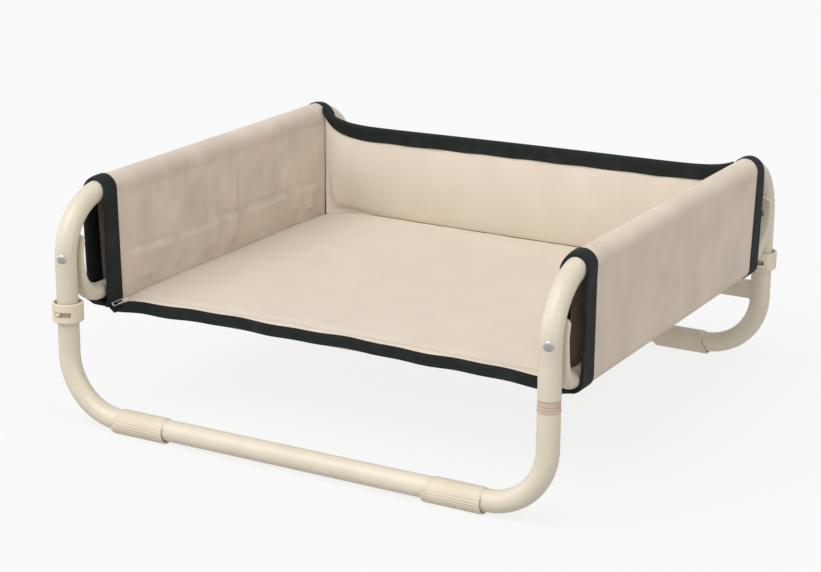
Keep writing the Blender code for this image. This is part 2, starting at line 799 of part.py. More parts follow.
def band_rings():
    """The tape folded over the rear wall's top edge: an upside-down U, drawn along the edge."""
    rings = []
    for x in REAR_HALF_X * eased(19):
        top = float(rear_top(x))
        low = top - BAND_HIGH
        gap = REAR_THICK / 2 + FIT * 2
        ring = []
        for out, z in (
            (-gap - TAPE, low),
            (-gap, low),
            (-gap, top + FIT),
            (gap, top + FIT),
            (gap, low),
            (gap + TAPE, low),
            (gap + TAPE, top + FIT + TAPE),
            (-gap - TAPE, top + FIT + TAPE),
        ):
            rise = (z - rear_low(x)) / (top - FIT - rear_low(x))
            ring.append((x, float(rear_middle(x, rise)) + out, z))
        rings.append(ring)
    return rings


node("rear_top_band", skin("rear top band", band_rings()), webbing, right_side, 60)


# Straps along the seat's front and rear edges, and the slider that tightens the front one
def strap_grids(x, front, back):
    """A flat strap with a slight wave, between two lines of places along Y, by place along the bed."""
    x, rise = np.meshgrid(x, (-1, 1), indexing="ij")
    share = (x - x[0]) / (x[-1] - x[0])
    wave = STRAP_WAVE * np.sin(STRAP_WAVES * 2 * pi * share) * np.sin(pi * share)
    z = STRAP_MID + wave + rise * STRAP_WIDE / 2
    near = np.stack([x, front(x), z], axis=-1)
    far = np.stack([x, back(x), z], axis=-1)
    return near, far


def beyond_front(gap):
    return lambda x: seat_front(x) - gap


def beyond_back(gap):
    return lambda x: seat_back(x) + gap


straps = {
    "front_strap": (
        np.linspace(STRAP_AT_SLIDER, STRAP_END, 25),
        beyond_front(FIT + STRAP_THICK),
        beyond_front(FIT),
    ),
    "rear_strap": (
        SEAT_EDGE_HALF_X * eased(17),
        beyond_back(FIT),
        beyond_back(FIT + STRAP_THICK),
    ),
}
for name, lines in straps.items():
    node(name, slab(name, *strap_grids(*lines)), webbing, right_side)


def slider_rings():
    """A flat wire loop with rounded corners."""
    corner = SLIDER_HALF_X * SLIDER_CORNER
    rings = []
    for middle in range(4):
        centre_x = (SLIDER_HALF_X - corner) * (1 if middle in (0, 3) else -1)
        centre_y = (SLIDER_HALF_Y - corner) * (1 if middle in (0, 1) else -1)
        for share in (0, 0.5, 1):
            angle = (middle + share) * pi / 2
            ring = []
            for index in range(6):
                turn = index * pi / 3
                away = corner + SLIDER_WIRE * cos(turn)
                x = centre_x + away * cos(angle)
                y = centre_y + away * sin(angle)
                ring.append((x, y, SLIDER_WIRE * sin(turn)))
            rings.append(ring)
    return rings


slider = node(
    "strap_slider", skin("strap slider", slider_rings(), cyclic=True), bright_steel, left_side
)
slider.location = SLIDER_PLACE
slider.rotation_euler = (0, -SLIDER_TILT, 0)
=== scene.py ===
from math import pi, radians, sin, cos, tau

import bmesh
import bpy
import numpy as np
from mathutils import Matrix, Vector


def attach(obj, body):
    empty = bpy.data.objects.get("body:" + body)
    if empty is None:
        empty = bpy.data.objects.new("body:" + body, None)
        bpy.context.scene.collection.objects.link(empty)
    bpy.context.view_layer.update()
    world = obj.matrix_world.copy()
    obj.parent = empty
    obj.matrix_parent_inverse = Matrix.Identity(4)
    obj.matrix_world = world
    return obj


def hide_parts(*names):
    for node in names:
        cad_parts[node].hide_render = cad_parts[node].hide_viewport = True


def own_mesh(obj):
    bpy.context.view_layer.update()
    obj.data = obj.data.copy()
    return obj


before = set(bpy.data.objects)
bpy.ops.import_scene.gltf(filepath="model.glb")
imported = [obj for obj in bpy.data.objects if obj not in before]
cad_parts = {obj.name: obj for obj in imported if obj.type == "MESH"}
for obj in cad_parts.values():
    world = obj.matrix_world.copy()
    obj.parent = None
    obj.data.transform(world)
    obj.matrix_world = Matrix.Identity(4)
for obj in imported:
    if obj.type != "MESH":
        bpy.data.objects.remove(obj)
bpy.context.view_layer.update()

# Side frames. Each is one steel tube of 22 mm, bent twice over the top and powder coated in ivory.
# It stands on the pin of one leg's swivel and drops with its other end into the other leg's collar.
half = 0.272  # from the bed's middle to a leg's axis, along X and along Y
tube_r = 0.011
tube_wall = 0.0012
bend_r = 0.062
top_z = 0.2359
swivel_foot = 0.1252
dock_foot = 0.1136
ivory_light = (0.668, 0.602, 0.482)
ivory_dark = (0.625, 0.559, 0.438)


class Wire:
    """A node's output. Sums and products of wires and numbers add Math nodes to its finish."""

    def __init__(self, finish, node, output):
        self.finish = finish
        self.node = node
        self.output = output

    def math(self, operation, *values):
        return self.finish.add("ShaderNodeMath", {"operation": operation}, enumerate(values))

    def __add__(self, other):
        return self.math("ADD", self, other)

    def __radd__(self, other):
        return self.math("ADD", other, self)

    def __sub__(self, other):
        return self.math("SUBTRACT", self, other)

    def __rsub__(self, other):
        return self.math("SUBTRACT", other, self)

    def __mul__(self, other):
        return self.math("MULTIPLY", self, other)

    def __rmul__(self, other):
        return self.math("MULTIPLY", other, self)

    def __abs__(self):
        return self.math("ABSOLUTE", self)

    def sine(self):
        return self.math("SINE", self)

    def eased(self, low, high):
        """0 below low and 1 above high, with a smooth climb between them."""
        return self.finish.add(
            "ShaderNodeMapRange",
            {"interpolation_type": "SMOOTHSTEP"},
            {"Value": self, "From Min": low, "From Max": high},
        )


class Finish:
    """A material: one Principled shader, and one method that adds any other node."""

    def __init__(self, name, fixed):
        self.material = bpy.data.materials.new(name)
        self.material.use_nodes = True
        self.tree = self.material.node_tree
        self.shader = self.tree.nodes["Principled BSDF"]
        self.look(fixed)

    def look(self, values):
        for socket, value in values.items():
            self.feed(self.shader, socket, value)

    def feed(self, node, socket, value):
        if isinstance(value, Wire):
            self.tree.links.new(value.node.outputs[value.output], node.inputs[socket])
        else:
            node.inputs[socket].default_value = value

    def add(self, kind, settings, inputs, output=0):
        node = self.tree.nodes.new(kind)
        for setting, value in settings.items():
            setattr(node, setting, value)
        for socket, value in dict(inputs).items():
            self.feed(node, socket, value)
        return Wire(self, node, output)

    def places(self, source="Object"):
        return self.add("ShaderNodeTexCoord", {}, {}, source)

    def parts(self, vector):
        split = self.add("ShaderNodeSeparateXYZ", {}, {0: vector})
        return [Wire(self, split.node, axis) for axis in range(3)]

    def noise(self, where, scale, detail=2.0):
        return self.add(
            "ShaderNodeTexNoise", {}, {"Vector": where, "Scale": scale, "Detail": detail}
        )

    def between(self, share, first, second):
        colours = [v if isinstance(v, Wire) else (*v, 1.0) for v in (first, second)]
        return self.add(
            "ShaderNodeMix", {"data_type": "RGBA"}, {0: share, 6: colours[0], 7: colours[1]}, 2
        )

    def raised(self, height, distance):
        """Bumps as high as the distance, in metres, where the height input is 1."""
        bump = self.add("ShaderNodeBump", {}, {"Height": height, "Distance": distance})
        self.look({"Normal": bump})


def powder_coat(name, dark, light):
    """Satin coat with a fine orange peel and a faint cloudiness."""
    coat = Finish(name, {"Coat Weight": 0.12, "Coat Roughness": 0.25})
    where = coat.places()
    cloud = coat.noise(where, 22.0, 3.0)
    peel = coat.noise(where, 750.0, 1.0)  # cells of about 1.3 mm
    coat.look({
        "Base Color": coat.between(cloud.eased(0.3, 0.7), dark, light),
        "Roughness": 0.30 + 0.14 * cloud,
    })
    coat.raised(peel, 0.00007)
    return coat


def grid_faces(rows, columns, loop):
    """Quads of a grid of points, its last column joined to its first, and with loop its last row."""
    i, j = np.meshgrid(np.arange(rows if loop else rows - 1), np.arange(columns), indexing="ij")
    k = (i + 1) % rows
    m = (j + 1) % columns
    quads = [i * columns + j, i * columns + m, k * columns + m, k * columns + j]
    return np.stack(quads, axis=-1).reshape(-1, 4)


def make(name, points, finish, body, loop=False, cloth=None, sharp=40):
    """A closed piece from a grid of points, with its faces turned to point out of it.

    Points that meet are merged, so a row drawn together to a point or a line closes the piece.
    cloth holds the surface's own measure in metres at each grid point, for its UV map.
    """
    rows, columns, _ = points.shape
    faces = grid_faces(rows, columns, loop)
    a, b, c, d = (points.reshape(-1, 3)[faces[:, n]] for n in range(4))
    volume = (np.cross(b, c) * a).sum() + (np.cross(c, d) * a).sum()
    order = [3, 2, 1, 0] if volume < 0 else [0, 1, 2, 3]
    mesh = bpy.data.meshes.new(name)
    mesh.from_pydata(points.reshape(-1, 3).tolist(), [], faces[:, order].tolist())
    if cloth is not None:
        corners = np.stack(
            [cloth[:-1, :-1], cloth[:-1, 1:], cloth[1:, 1:], cloth[1:, :-1]], axis=2
        )
        layer = mesh.uv_layers.new(name="cloth")
        layer.data.foreach_set("uv", corners[:, :, order].astype(np.float32).ravel())
    shape = bmesh.new()
    shape.from_mesh(mesh)
    bmesh.ops.remove_doubles(shape, verts=shape.verts, dist=2e-6)
    bmesh.ops.dissolve_degenerate(shape, edges=shape.edges, dist=1e-7)
    shape.to_mesh(mesh)
    shape.free()
    mesh.materials.append(finish.material)
    mesh.shade_smooth()
    mesh.set_sharp_from_angle(angle=radians(sharp))
    piece = bpy.data.objects.new(name, mesh)
    bpy.context.scene.collection.objects.link(piece)
    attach(piece, body)
    return piece


def bent_line(corners, radius, steps=30):
    """Points and directions along a line whose inner corners are quarter circles.

    On a corner: centre plus the radius times (arriving way by sine, less leaving way by cosine).
    """
    corners = np.array(corners, float)
    ways = np.diff(corners, axis=0)
    ways /= np.linalg.norm(ways, axis=1)[:, None]
    turn = np.linspace(0, pi / 2, steps + 1)[:, None]
    points = [corners[:1]]
    heads = [ways[:1]]
    for corner, arrive, leave in zip(corners[1:-1], ways, ways[1:]):
        centre = corner + radius * (leave - arrive)
        points.append(centre + radius * (arrive * np.sin(turn) - leave * np.cos(turn)))
        heads.append(arrive * np.cos(turn) + leave * np.sin(turn))
    points.append(corners[-1:])
    heads.append(ways[-1:])
    return np.concatenate(points), np.concatenate(heads)


def pipe(line, radius, wall, count=56):
    """A circle carried along a plane line, out over the outside and back through the bore.

    Each point is the line's, plus the size times (normal by cosine, across by sine). Columns
    of the result are (across the plane, first plane axis, second plane axis).
    """
    points, ways = line
    normals = np.stack([-ways[:, 1], ways[:, 0]], axis=1)
    angles = np.arange(count) * tau / count
    shells = []
    for size in (radius, radius - wall):
        plane = points[:, None] + size * np.cos(angles)[:, None] * normals[:, None]
        across = np.broadcast_to(size * np.sin(angles), plane.shape[:2])
        shells.append(np.dstack([across, plane]))
    return np.concatenate([shells[0], shells[1][::-1]])


sides = {"right": 1.0, "left": -1.0}  # the left side is the right one turned half round
ends = {"right": ("front", "rear"), "left": ("rear", "front")}  # at the swivel, at the dock
ivory_coat = powder_coat("ivory powder coat", ivory_dark, ivory_light)
side_line = bent_line(
    [(-half, swivel_foot), (-half, top_z), (half, top_z), (half, dock_foot)], bend_r
)
side_pipe = pipe(side_line, tube_r, tube_wall) + (half, 0, 0)
for side, way in sides.items():
    piece = make(
        f"{side}_frame_tube", side_pipe * (way, way, 1), ivory_coat,
        f"{side}_side", loop=True,
    )
    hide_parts(f"{side}_side_tube")

# Seat rails. A thinner tube carries the seat's edge along each side. Its ends are pressed flat,
# turned up along the inside of the side frame's uprights and riveted to them.
rail_r = 0.009
rail_z = 0.129
rail_bend = 0.040
plate_wide = 0.0118
plate_thick = 0.0017
plate_top = 0.1985
gap = 0.0003
plate_y = half - tube_r - gap - plate_thick
press_start, press_whole = 25, 87  # degrees of the bend
neck_fuller = 0.0024  # how much thicker the plate still is on the bend
neck_z = rail_z + 0.8 * rail_bend
neck_fade = 0.030
plate_round = 0.007


def rail_line(steps=26):
    """Half of the rail's line, from the top of one plate to the middle, then its mirror image."""
    hug = bend_r - tube_r - gap - plate_thick
    low = top_z - bend_r
    turn = np.linspace(np.arcsin((plate_top - low) / hug), 0, 9)
    plate = np.stack([bend_r - half - hug * np.cos(turn), low + hug * np.sin(turn)], axis=1)
    plate_way = np.stack([-np.sin(turn), -np.cos(turn)], axis=1)
    points, ways = bent_line([(-plate_y, low), (-plate_y, rail_z), (0, rail_z)], rail_bend, steps)
    points = np.concatenate([plate, points[1:-1]])
    ways = np.concatenate([plate_way, ways[1:-1]])
    return (
        np.concatenate([points, points[::-1] * (-1, 1)]),
        np.concatenate([ways, ways[::-1] * (1, -1)]),
    )


def smooth(x):
    """0 below 0 and 1 above 1, eased between."""
    x = np.clip(x, 0, 1)
    return x * x * (3 - 2 * x)


def superellipse(count, power):
    """Cosine and sine of a turn, each raised to a power that keeps its sign."""
    angles = np.arange(count) * tau / count
    first = np.sign(np.cos(angles)) * np.abs(np.cos(angles)) ** power
    second = np.sign(np.sin(angles)) * np.abs(np.sin(angles)) ** power
    return first, second


def rail_surface(count=56):
    """A round tube whose section eases into a flat plate on the bend and above it.

    The section is a superellipse, |across|^n + |along|^n = 1, with n growing from 2 to 4. Its
    front stays against the upright while its back comes forward, and its top end is rounded.
    """
    points, ways = rail_line()
    steep = np.degrees(np.arccos(np.clip(1 - (points[:, 1] - rail_z) / rail_bend, 0, 1)))
    flat = smooth((steep - press_start) / (press_whole - press_start))[:, None]
    fuller = neck_fuller * flat * (1 - smooth((points[:, 1:] - neck_z) / neck_fade))
    crown = np.clip((plate_top - points[:, 1:]) / plate_round, 0.02, 1)
    crown = np.sqrt(1 - (1 - crown) ** 2)
    across, along = superellipse(count, 2 / (2 + 2 * flat))
    normals = np.stack([-ways[:, 1], ways[:, 0]], axis=1)
    shells = []
    for bore in (0.0, tube_wall):
        thick = rail_r + flat * (plate_thick - rail_r) + 0.5 * fuller - bore
        wide = rail_r + flat * (plate_wide * crown - rail_r) - bore * crown
        centre = points + 0.5 * fuller * normals
        plane = centre[:, None] + (thick * across)[..., None] * normals[:, None]
        shells.append(np.dstack([half + wide * along, plane]))
    return np.concatenate([shells[0], shells[1][::-1]])


rail = rail_surface()
for side, way in sides.items():
    piece = make(
        f"{side}_rail_tube", rail * (way, way, 1), ivory_coat,
        f"{side}_side", loop=True,
    )
    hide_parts(f"{side}_seat_rail")

# Rivets. Bright plated dome heads outside the uprights, each shank clenched into a small
# flat tail behind the rail's pressed end.
rivet_z = 0.178
rivet_turn = radians(14)  # the heads face a little round the upright
head_r = 0.0050
head_high = 0.0022
head_rim = 0.0004
head_sunk = 0.0009  # the heads are drawn down into the tube
shank_r = 0.0024
tail_r = 0.0040
tail_high = 0.0014
plate_back = tube_r + 4 * gap + 2 * plate_thick


def bright_plating(name, colour, roughness):
    """Plated steel with fine handling marks, which only change how sharply it reflects."""
    plating = Finish(name, {"Base Color": (*colour, 1.0), "Metallic": 1.0})
    marks = plating.noise(plating.places(), 420.0, 4.0)
    plating.look({"Roughness": roughness + 0.16 * marks})
    plating.raised(marks, 0.00002)
    return plating


def lathe(profile, count=44):
    """A profile of (radius, height) points turned about Z: radius times cosine and sine."""
    profile = np.array(profile)
    angles = np.arange(count) * tau / count
    radius = profile[:, :1]
    height = np.broadcast_to(profile[:, 1:], (len(profile), count))
    return np.dstack([radius * np.cos(angles), radius * np.sin(angles), height])


steel = bright_plating("bright rivet steel", (0.56, 0.56, 0.54), 0.30)
face = tube_r - head_sunk
swell = np.linspace(0, pi / 2, 12)
dome_out = face + head_rim + (head_high - head_rim) * np.cos(swell)
dome = np.stack([head_r * np.sin(swell), dome_out], axis=1)
rivet_profile = dome.tolist() + [
    (head_r, face), (shank_r, face), (shank_r, -plate_back), (tail_r, -plate_back),
    (tail_r, -plate_back - 0.5 * tail_high), (0.8 * tail_r, -plate_back - 0.85 * tail_high),
    (0.4 * tail_r, -plate_back - tail_high), (0, -plate_back - tail_high),
]
upright = lathe(rivet_profile)
for side, way in sides.items():
    for end, place in zip(ends[side], (-1, 1)):
        across, along, out = (upright[..., axis] for axis in range(3))
        x = across * cos(rivet_turn) - place * out * sin(rivet_turn)
        y = place * out * cos(rivet_turn) + across * sin(rivet_turn)
        spot = np.dstack([half + x, place * half + y, rivet_z + along])
        piece = make(
            f"{side}_{end}_rivet_head", spot * (way, way, 1), steel,
            f"{side}_side", sharp=50,
        )
        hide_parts(f"{side}_{end}_rivet")

# Legs. Each is a U of the same coated tube, open side up, which turns about its swivel. The rear
# one has a cross brace, coped and welded between its uprights.
bar_z = 0.0139
legs = {"front": 1.0, "rear": -1.0}  # the rear leg is the front one turned half round
leg_top = 0.1133
dock_leg_top = 0.1084
brace_r = 0.0105
brace_z = 0.084
bead_r = 0.0013
leg_line = bent_line(
    [(half, leg_top), (half, bar_z), (-half, bar_z), (-half, dock_leg_top)], bend_r
)
leg_pipe = pipe(leg_line, tube_r, tube_wall)[..., (1, 0, 2)] + (0, -half, 0)
for leg, way in legs.items():
    piece = make(
        f"{leg}_ground_tube", leg_pipe * (way, way, 1), ivory_coat,
        f"{leg}_leg", loop=True,
    )
    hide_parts(f"{leg}_leg_tube")


def coped_brace(count=56, rows=24):
    """A straight tube whose ends follow the uprights: x is half less the upright's own circle."""
    angles = np.arange(count) * tau / count
    share = np.linspace(-1, 1, rows)[:, None]
    shells = []
    for size in (brace_r, brace_r - tube_wall):
        across = size * np.cos(angles)
        reach = half - np.sqrt(tube_r**2 - across**2) - 0.0002
        x = share * reach
        y = half + np.broadcast_to(across, x.shape)
        z = brace_z + np.broadcast_to(size * np.sin(angles), x.shape)
        shells.append(np.dstack([x, y, z]))
    return np.concatenate([shells[0], shells[1][::-1]])


def weld_bead(sign, count=72, around=10):
    """A thin ring laid in the corner between brace and upright, waved a little by its steps."""
    angles = np.arange(count) * tau / count
    size = bead_r * (1 + 0.10 * np.sin(24 * angles))[:, None]
    turn = np.arange(around) * tau / around
    across = brace_r * np.cos(angles)[:, None]
    reach = half - np.sqrt(tube_r**2 - across**2)
    swell = (brace_r + size * np.cos(turn)) / brace_r
    y = half + across * swell
    z = brace_z + brace_r * np.sin(angles)[:, None] * swell
    x = sign * (reach - size * np.sin(turn) * 0.8)
    return np.dstack([x, y, z])


piece = make("rear_brace", coped_brace(), ivory_coat, "rear_leg", loop=True)
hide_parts("rear_leg_brace")
for name, sign in (("rear_right_weld", 1), ("rear_left_weld", -1)):
    make(name, weld_bead(sign), ivory_coat, "rear_leg", loop=True)

# Fittings. Swivel bushes, split collars, keepers, end plugs and feet are moulded in beige plastic
# with a fine spark-eroded grain. So are the latches that turn in the collars. The swivel pins are
# plain turned steel.


def moulded(name, dark, light):
    plastic = Finish(name, {"Specular IOR Level": 0.4})
    where = plastic.places()
    cloud = plastic.noise(where, 35.0, 2.0)
    grain = plastic.noise(where, 1500.0, 1.0)
    plastic.look({
        "Base Color": plastic.between(cloud.eased(0.3, 0.7), dark, light),
        "Roughness": 0.42 + 0.16 * grain,
    })
    plastic.raised(grain, 0.00006)
    return plastic


def recoat(finish, *names):
    for name in names:
        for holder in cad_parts[name].material_slots:
            holder.material = finish.material


beige = moulded("beige moulding", (0.700, 0.590, 0.455), (0.745, 0.640, 0.500))
# The latch rings are the same beige plastic as the collars. Their much darker colour is painted
# shade, where they lie inside the collars' slots.
shaded_beige = moulded("beige latch moulding, painted shade", (0.42, 0.33, 0.24), (0.47, 0.38, 0.28))
sole = moulded("beige foot moulding", (0.620, 0.545, 0.420), (0.665, 0.590, 0.465))
bush_beige = moulded("beige bush moulding", (0.53, 0.42, 0.32), (0.58, 0.47, 0.36))
turned_steel = bright_plating("turned steel", (0.52, 0.52, 0.50), 0.30)
for leg in legs:
    recoat(beige, f"{leg}_dock_collar")
    recoat(shaded_beige, f"{leg}_latch_ring")
    recoat(beige, f"{leg}_latch_stud")
    recoat(turned_steel, f"{leg}_swivel_pin")
for side in sides:
    recoat(beige, f"{side}_dock_keeper", f"{side}_end_plug")

# Swivel bushes. A grooved ring between the two tube ends of each swivel, on the swivel's pin. It is
# moulded in a slightly darker beige than the collars.
bush_bore = 0.0098
bush_groove = 0.0102
bush_profile = [
    (bush_bore, 0.1136), (0.0112, 0.1136), (0.0112, 0.1151), (0.0106, 0.1155), (0.0106, 0.1161),
    (0.0110, 0.1165), (0.0110, 0.1182), (bush_groove, 0.1187), (bush_groove, 0.1192),
    (0.0108, 0.1197), (0.0108, 0.1228), (bush_groove, 0.1234), (bush_groove, 0.1240),
    (0.0110, 0.1244), (0.0110, 0.1249), (bush_bore, 0.1249),
]
for leg, way in legs.items():
    piece = make(
        f"{leg}_bush_ring", lathe(bush_profile, 60) + (way * half, -way * half, 0), bush_beige,
        f"{leg}_leg", loop=True, sharp=35,
    )
    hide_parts(f"{leg}_swivel_bush")

# Feet. Moulded sleeves pushed on to the ground bars, ribbed along both lower sides. They stand off
# the bar below, where the ends are open, and thin out to the bar above.
foot_long = 0.058
foot_x = 0.180
foot_r = 0.0131
foot_bore = tube_r + gap
foot_drop = 0.0011
rib_deep = 0.0003
foot_lip = 0.0050  # how much further the foot's lower part reaches at one end
rib_pitch = radians(14)


def foot_surface(count=216):
    """Circles about the bar, cut flat at the ground; a rib is a cosine wave round the sleeve."""
    angle = np.arange(count) * tau / count
    away = np.abs((angle + pi) % tau - pi)  # from the lowest line
    low = smooth((radians(136) - away) / radians(24))
    ribbed = smooth((away - radians(13)) / radians(4)) * smooth((radians(122) - away) / radians(6))
    full = foot_r - rib_deep * ribbed * (0.5 - 0.5 * np.cos(tau * away / rib_pitch)) ** 2
    depth = np.array([0, 0.0002, 0.0004, 0.0008, 0.0014, 0.0022, 0.0030, 0.0042, 0.0060, 0.0200])
    x = np.concatenate([depth - foot_long / 2, foot_long / 2 - depth[::-1]])[:, None]
    reach = np.clip(-2 * x / foot_long, 0, 1) ** 2
    x = x - foot_lip * reach * smooth((radians(105) - away) / radians(45))
    depth = np.concatenate([depth, depth[::-1]])[:, None]
    end = low * (full - 0.0005) + (1 - low) * (foot_bore + 0.0003)
    outer = end + (full - end) * smooth(depth / (0.0006 * low + 0.0030 * (1 - low)))
    inner = foot_bore + 0.0010 * low * (1 - smooth((depth - 0.0030) / 0.0015))
    shells = []
    for size, drop in ((outer, foot_drop), (inner, 0.0)):
        y = size * np.sin(angle)
        z = np.maximum(bar_z - drop - size * np.cos(angle), 0)
        shells.append(np.dstack([x + 0 * y, y, z]))
    return np.concatenate([shells[0], shells[1][::-1]])


for leg, turn in legs.items():
    for side, way in sides.items():
        piece = make(
            f"{leg}_{side}_foot_sleeve",
            foot_surface() * (turn, turn, 1) + (way * foot_x, -turn * half, 0), sole,
            f"{leg}_leg", loop=True, sharp=35,
        )
        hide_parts(f"{leg}_{side}_foot")

# Side walls. Each is one length of sand coloured woven polyester, coated inside, sewn into a
# sleeve round the top tube and the seat rail. It is drawn tight between them, with some slack folds.
cloth_thick = 0.0010
over_tube = tube_r + 0.0018
over_rail = rail_r + 0.0018
seam_round = 6  # power of the inside corner's superellipse, nearly square
seam_drop = 0.0042  # how far the seat's pull draws the wall's inside corner down
swivel_cloth = 0.2280
dock_cloth = 0.2232
swivel_pull = 0.0065
dock_pull = 0.0035
tape_wide = 0.0215
straight = half - bend_r


def hump(x, middle, wide):
    """A bell of height 1: e to the minus square of the distance over the width."""
    return np.exp(-(((x - middle) / wide) ** 2))


def slack(a, b, turn):
    """Unevenness of slack cloth, from -1 to 1: four slanting waves, 45 to 170 mm long, averaged."""
    waves = ((0.170, 0.31, 0.0), (0.097, -0.62, 1.7), (0.064, 0.45, 3.9), (0.045, -0.90, 5.1))
    return sum(
        np.sin(tau * (a + slant * b) / long + late + turn * (1 + n))
        for n, (long, slant, late) in enumerate(waves)
    ) / 4


def tube_drop(y):
    """How far the top of the side tube has bent down: a circle of its bend's outer radius."""
    outer = bend_r + tube_r
    beyond = np.maximum(np.abs(y) - straight, 0)
    return outer - np.sqrt(outer**2 - beyond**2)


def wall_section(y, away):
    """Round the sleeve at places y and a distance outside the cloth's inner face.

    Over the top tube in an arc, straight down inside, round a nearly square corner where the
    seat is sewn on, under the rail in an arc and straight up outside. Gives the places and the
    outward normals along X and Z, and which points are on the inside and outside faces.
    """
    y = np.reshape(y, (-1, 1))
    away = np.reshape(away, (-1, 1))
    top = top_z - tube_drop(y)
    wide = over_tube + away
    low = over_rail + away
    lean = np.arcsin((over_rail - over_tube) / (top - rail_z))
    arc = lean + (pi - lean) * np.linspace(0, 1, 27)
    down = np.broadcast_to(np.linspace(0, 1, 50)[1:-1], (len(y), 48))
    corner = np.broadcast_to(np.linspace(0, pi / 2, 15), (len(y), 15))
    under = -pi / 2 + (lean + pi / 2) * np.linspace(0, 1, 16)[1:]
    power = 2 / seam_round
    low_x, low_z = low * np.cos(lean), rail_z + low * np.sin(lean)
    high_x, high_z = wide * np.cos(lean), top + wide * np.sin(lean)
    x = np.hstack([
        wide * np.cos(arc),
        -wide + 0 * down,
        -wide * np.cos(corner) ** power,
        low * np.cos(under),
        low_x + down * (high_x - low_x),
    ])
    z = np.hstack([
        top + wide * np.sin(arc),
        top + down * (rail_z - top),
        rail_z - low * np.sin(corner) ** power - seam_drop * np.sin(2 * corner) ** 0.7,
        rail_z + low * np.sin(under),
        low_z + down * (high_z - low_z),
    ])
    tilt = np.hstack([arc, pi + 0 * down, pi + corner, under, lean + 0 * down])
    inside = np.hstack([0 * arc, 1 + 0 * down, 0 * corner, 0 * under, 0 * down])
    outside = np.hstack([0 * arc, 0 * down, 0 * corner, 0 * under, 1 + 0 * down])
    return half + x, z, np.cos(tilt), np.sin(tilt), inside, outside


creases = (  # of the left wall's inside: both ends along the bed, and the height there, in mm
    (-200, -100, 166.0, 160.3), (-92, -38, 161.0, 159.0), (-35, 23, 163.6, 161.0),
    (30, 131, 160.6, 159.2), (140, 192, 160.9, 157.0),
)
left_folds = (  # place, slant, width and depth of an upright fold in mm, and the height it fades at
    (-150, 0.05, 9, 0.6, 150), (-96, 0.10, 6, 0.9, 158), (-28, -0.06, 6, 1.2, 175),
    (10, 0.04, 5, 1.6, 215), (61, -0.05, 7, 0.9, 160), (113, 0.08, 6, 1.0, 200),
    (133, 0.02, 8, 0.8, 160), (172, 0.10, 7, 0.8, 165),
)


def left_inside(y, z):
    """Relief in mm of the left wall's inside: slack, ledges at the creases, upright folds."""
    relief = 1.3 * slack(y, z, 0.4) - 1.8 * hump(z, 0.229, 0.009)
    relief = relief + 0.5 * np.sin(tau * (y + 0.2 * z) / 0.031 + 2 * np.sin(30 * y)) * hump(
        z, 0.185, 0.035
    )
    for start, end, high, low in creases:
        share = np.clip((y * 1000 - start) / (end - start), 0, 1)
        arch = np.sin(pi * share)
        below = (high + (low - high) * share - 1.5 * arch) / 1000 - z
        ledge = smooth(below / 0.0035) * np.exp(-np.maximum(below, 0) / 0.020)
        relief = relief + arch**0.3 * (2.4 * ledge - 1.3 * hump(below, -0.0035, 0.0035))
    for place, slant, wide, deep, fade in left_folds:
        line = (place + slant * (z * 1000 - 160)) / 1000
        still = smooth((fade / 1000 - z) / 0.030) * smooth((z - 0.118) / 0.020)
        relief = relief + 2.4 * deep * still * hump(y, line, wide / 1000)
        relief = relief - 1.5 * deep * still * hump(y, line + 1.9 * wide / 1000, 1.3 * wide / 1000)
    return relief


def right_outside(y, z):
    """Relief in mm of the right wall's outside: soft folds that fan out from its top rear corner."""
    ahead = 0.232 - y
    below = 0.252 - z
    reach = np.sqrt(ahead**2 + below**2)
    fan = np.sin(9.5 * np.arctan2(below, ahead) + 0.8 + 3 * ahead)
    return 0.8 * slack(y, z, 2.1) + 1.6 * fan * np.exp(-reach / 0.16) * smooth(reach / 0.05)


def plain_face(y, z):
    """Relief in mm of the two faces that look away: slack, and tucks above the seat's seam."""
    tucks = np.sin(tau * y / 0.023) * hump(z, 0.124, 0.012)
    return 0.7 * slack(y, z, 4.4) + 0.25 * tucks


def pulled(y, z):
    """How far the cloth's ends lie back over the tube's bend: more at the swivel than the dock."""
    most = np.where(y < 0, swivel_pull, dock_pull)
    return np.sign(y) * most * smooth((z - 0.222) / 0.026) * smooth((np.abs(y) - 0.198) / 0.024)


def wall_places():
    """Places along a wall, about 2.5 mm apart and closer on the tube's bends."""
    return np.concatenate([
        np.linspace(-swivel_cloth, -straight, 9)[:-1],
        np.linspace(-straight, straight, 150),
        np.linspace(straight, dock_cloth, 7)[1:],
    ])


def woven(name, dark, light, source):
    """Plain woven polyester: threads 0.6 mm apart over and under, uneven in tone, soft in sheen. Its
    long streaks are partly the cloth's own tone and partly painted shade of soft upright folds.
    """
    cloth = Finish(name, {
        "Sheen Weight": 0.25, "Sheen Roughness": 0.45, "Specular IOR Level": 0.25,
    })
    where = cloth.places(source)
    along, across, _ = cloth.parts(where)
    thread = tau / 0.0012
    weave = (along * thread).sine() * (across * thread).sine()
    warp = cloth.noise(cloth.add("ShaderNodeMapping", {}, {0: where, "Scale": (900, 26, 26)}), 1.0)
    weft = cloth.noise(cloth.add("ShaderNodeMapping", {}, {0: where, "Scale": (26, 900, 26)}), 1.0)
    cloud = cloth.noise(where, 18.0, 4.0)
    # Long streaks of tone: partly the cloth's own unevenness, partly painted shade in place of the
    # shading of soft upright folds.
    streak_and_fold_shade = cloth.noise(cloth.add("ShaderNodeMapping", {}, {0: where, "Scale": (30, 7, 7)}), 1.0)
    shade = 0.5 + 0.8 * (cloud - 0.5) + 0.5 * (streak_and_fold_shade - 0.5)
    shade = shade + 0.2 * (warp - 0.5) + 0.2 * (weft - 0.5) + 0.10 * weave
    cloth.look({
        "Base Color": cloth.between(shade.eased(0.1, 0.9), dark, light),
        "Roughness": 0.86 + 0.10 * cloud,
    })
    cloth.raised(weave + 1.5 * cloud, 0.00010)
    return cloth


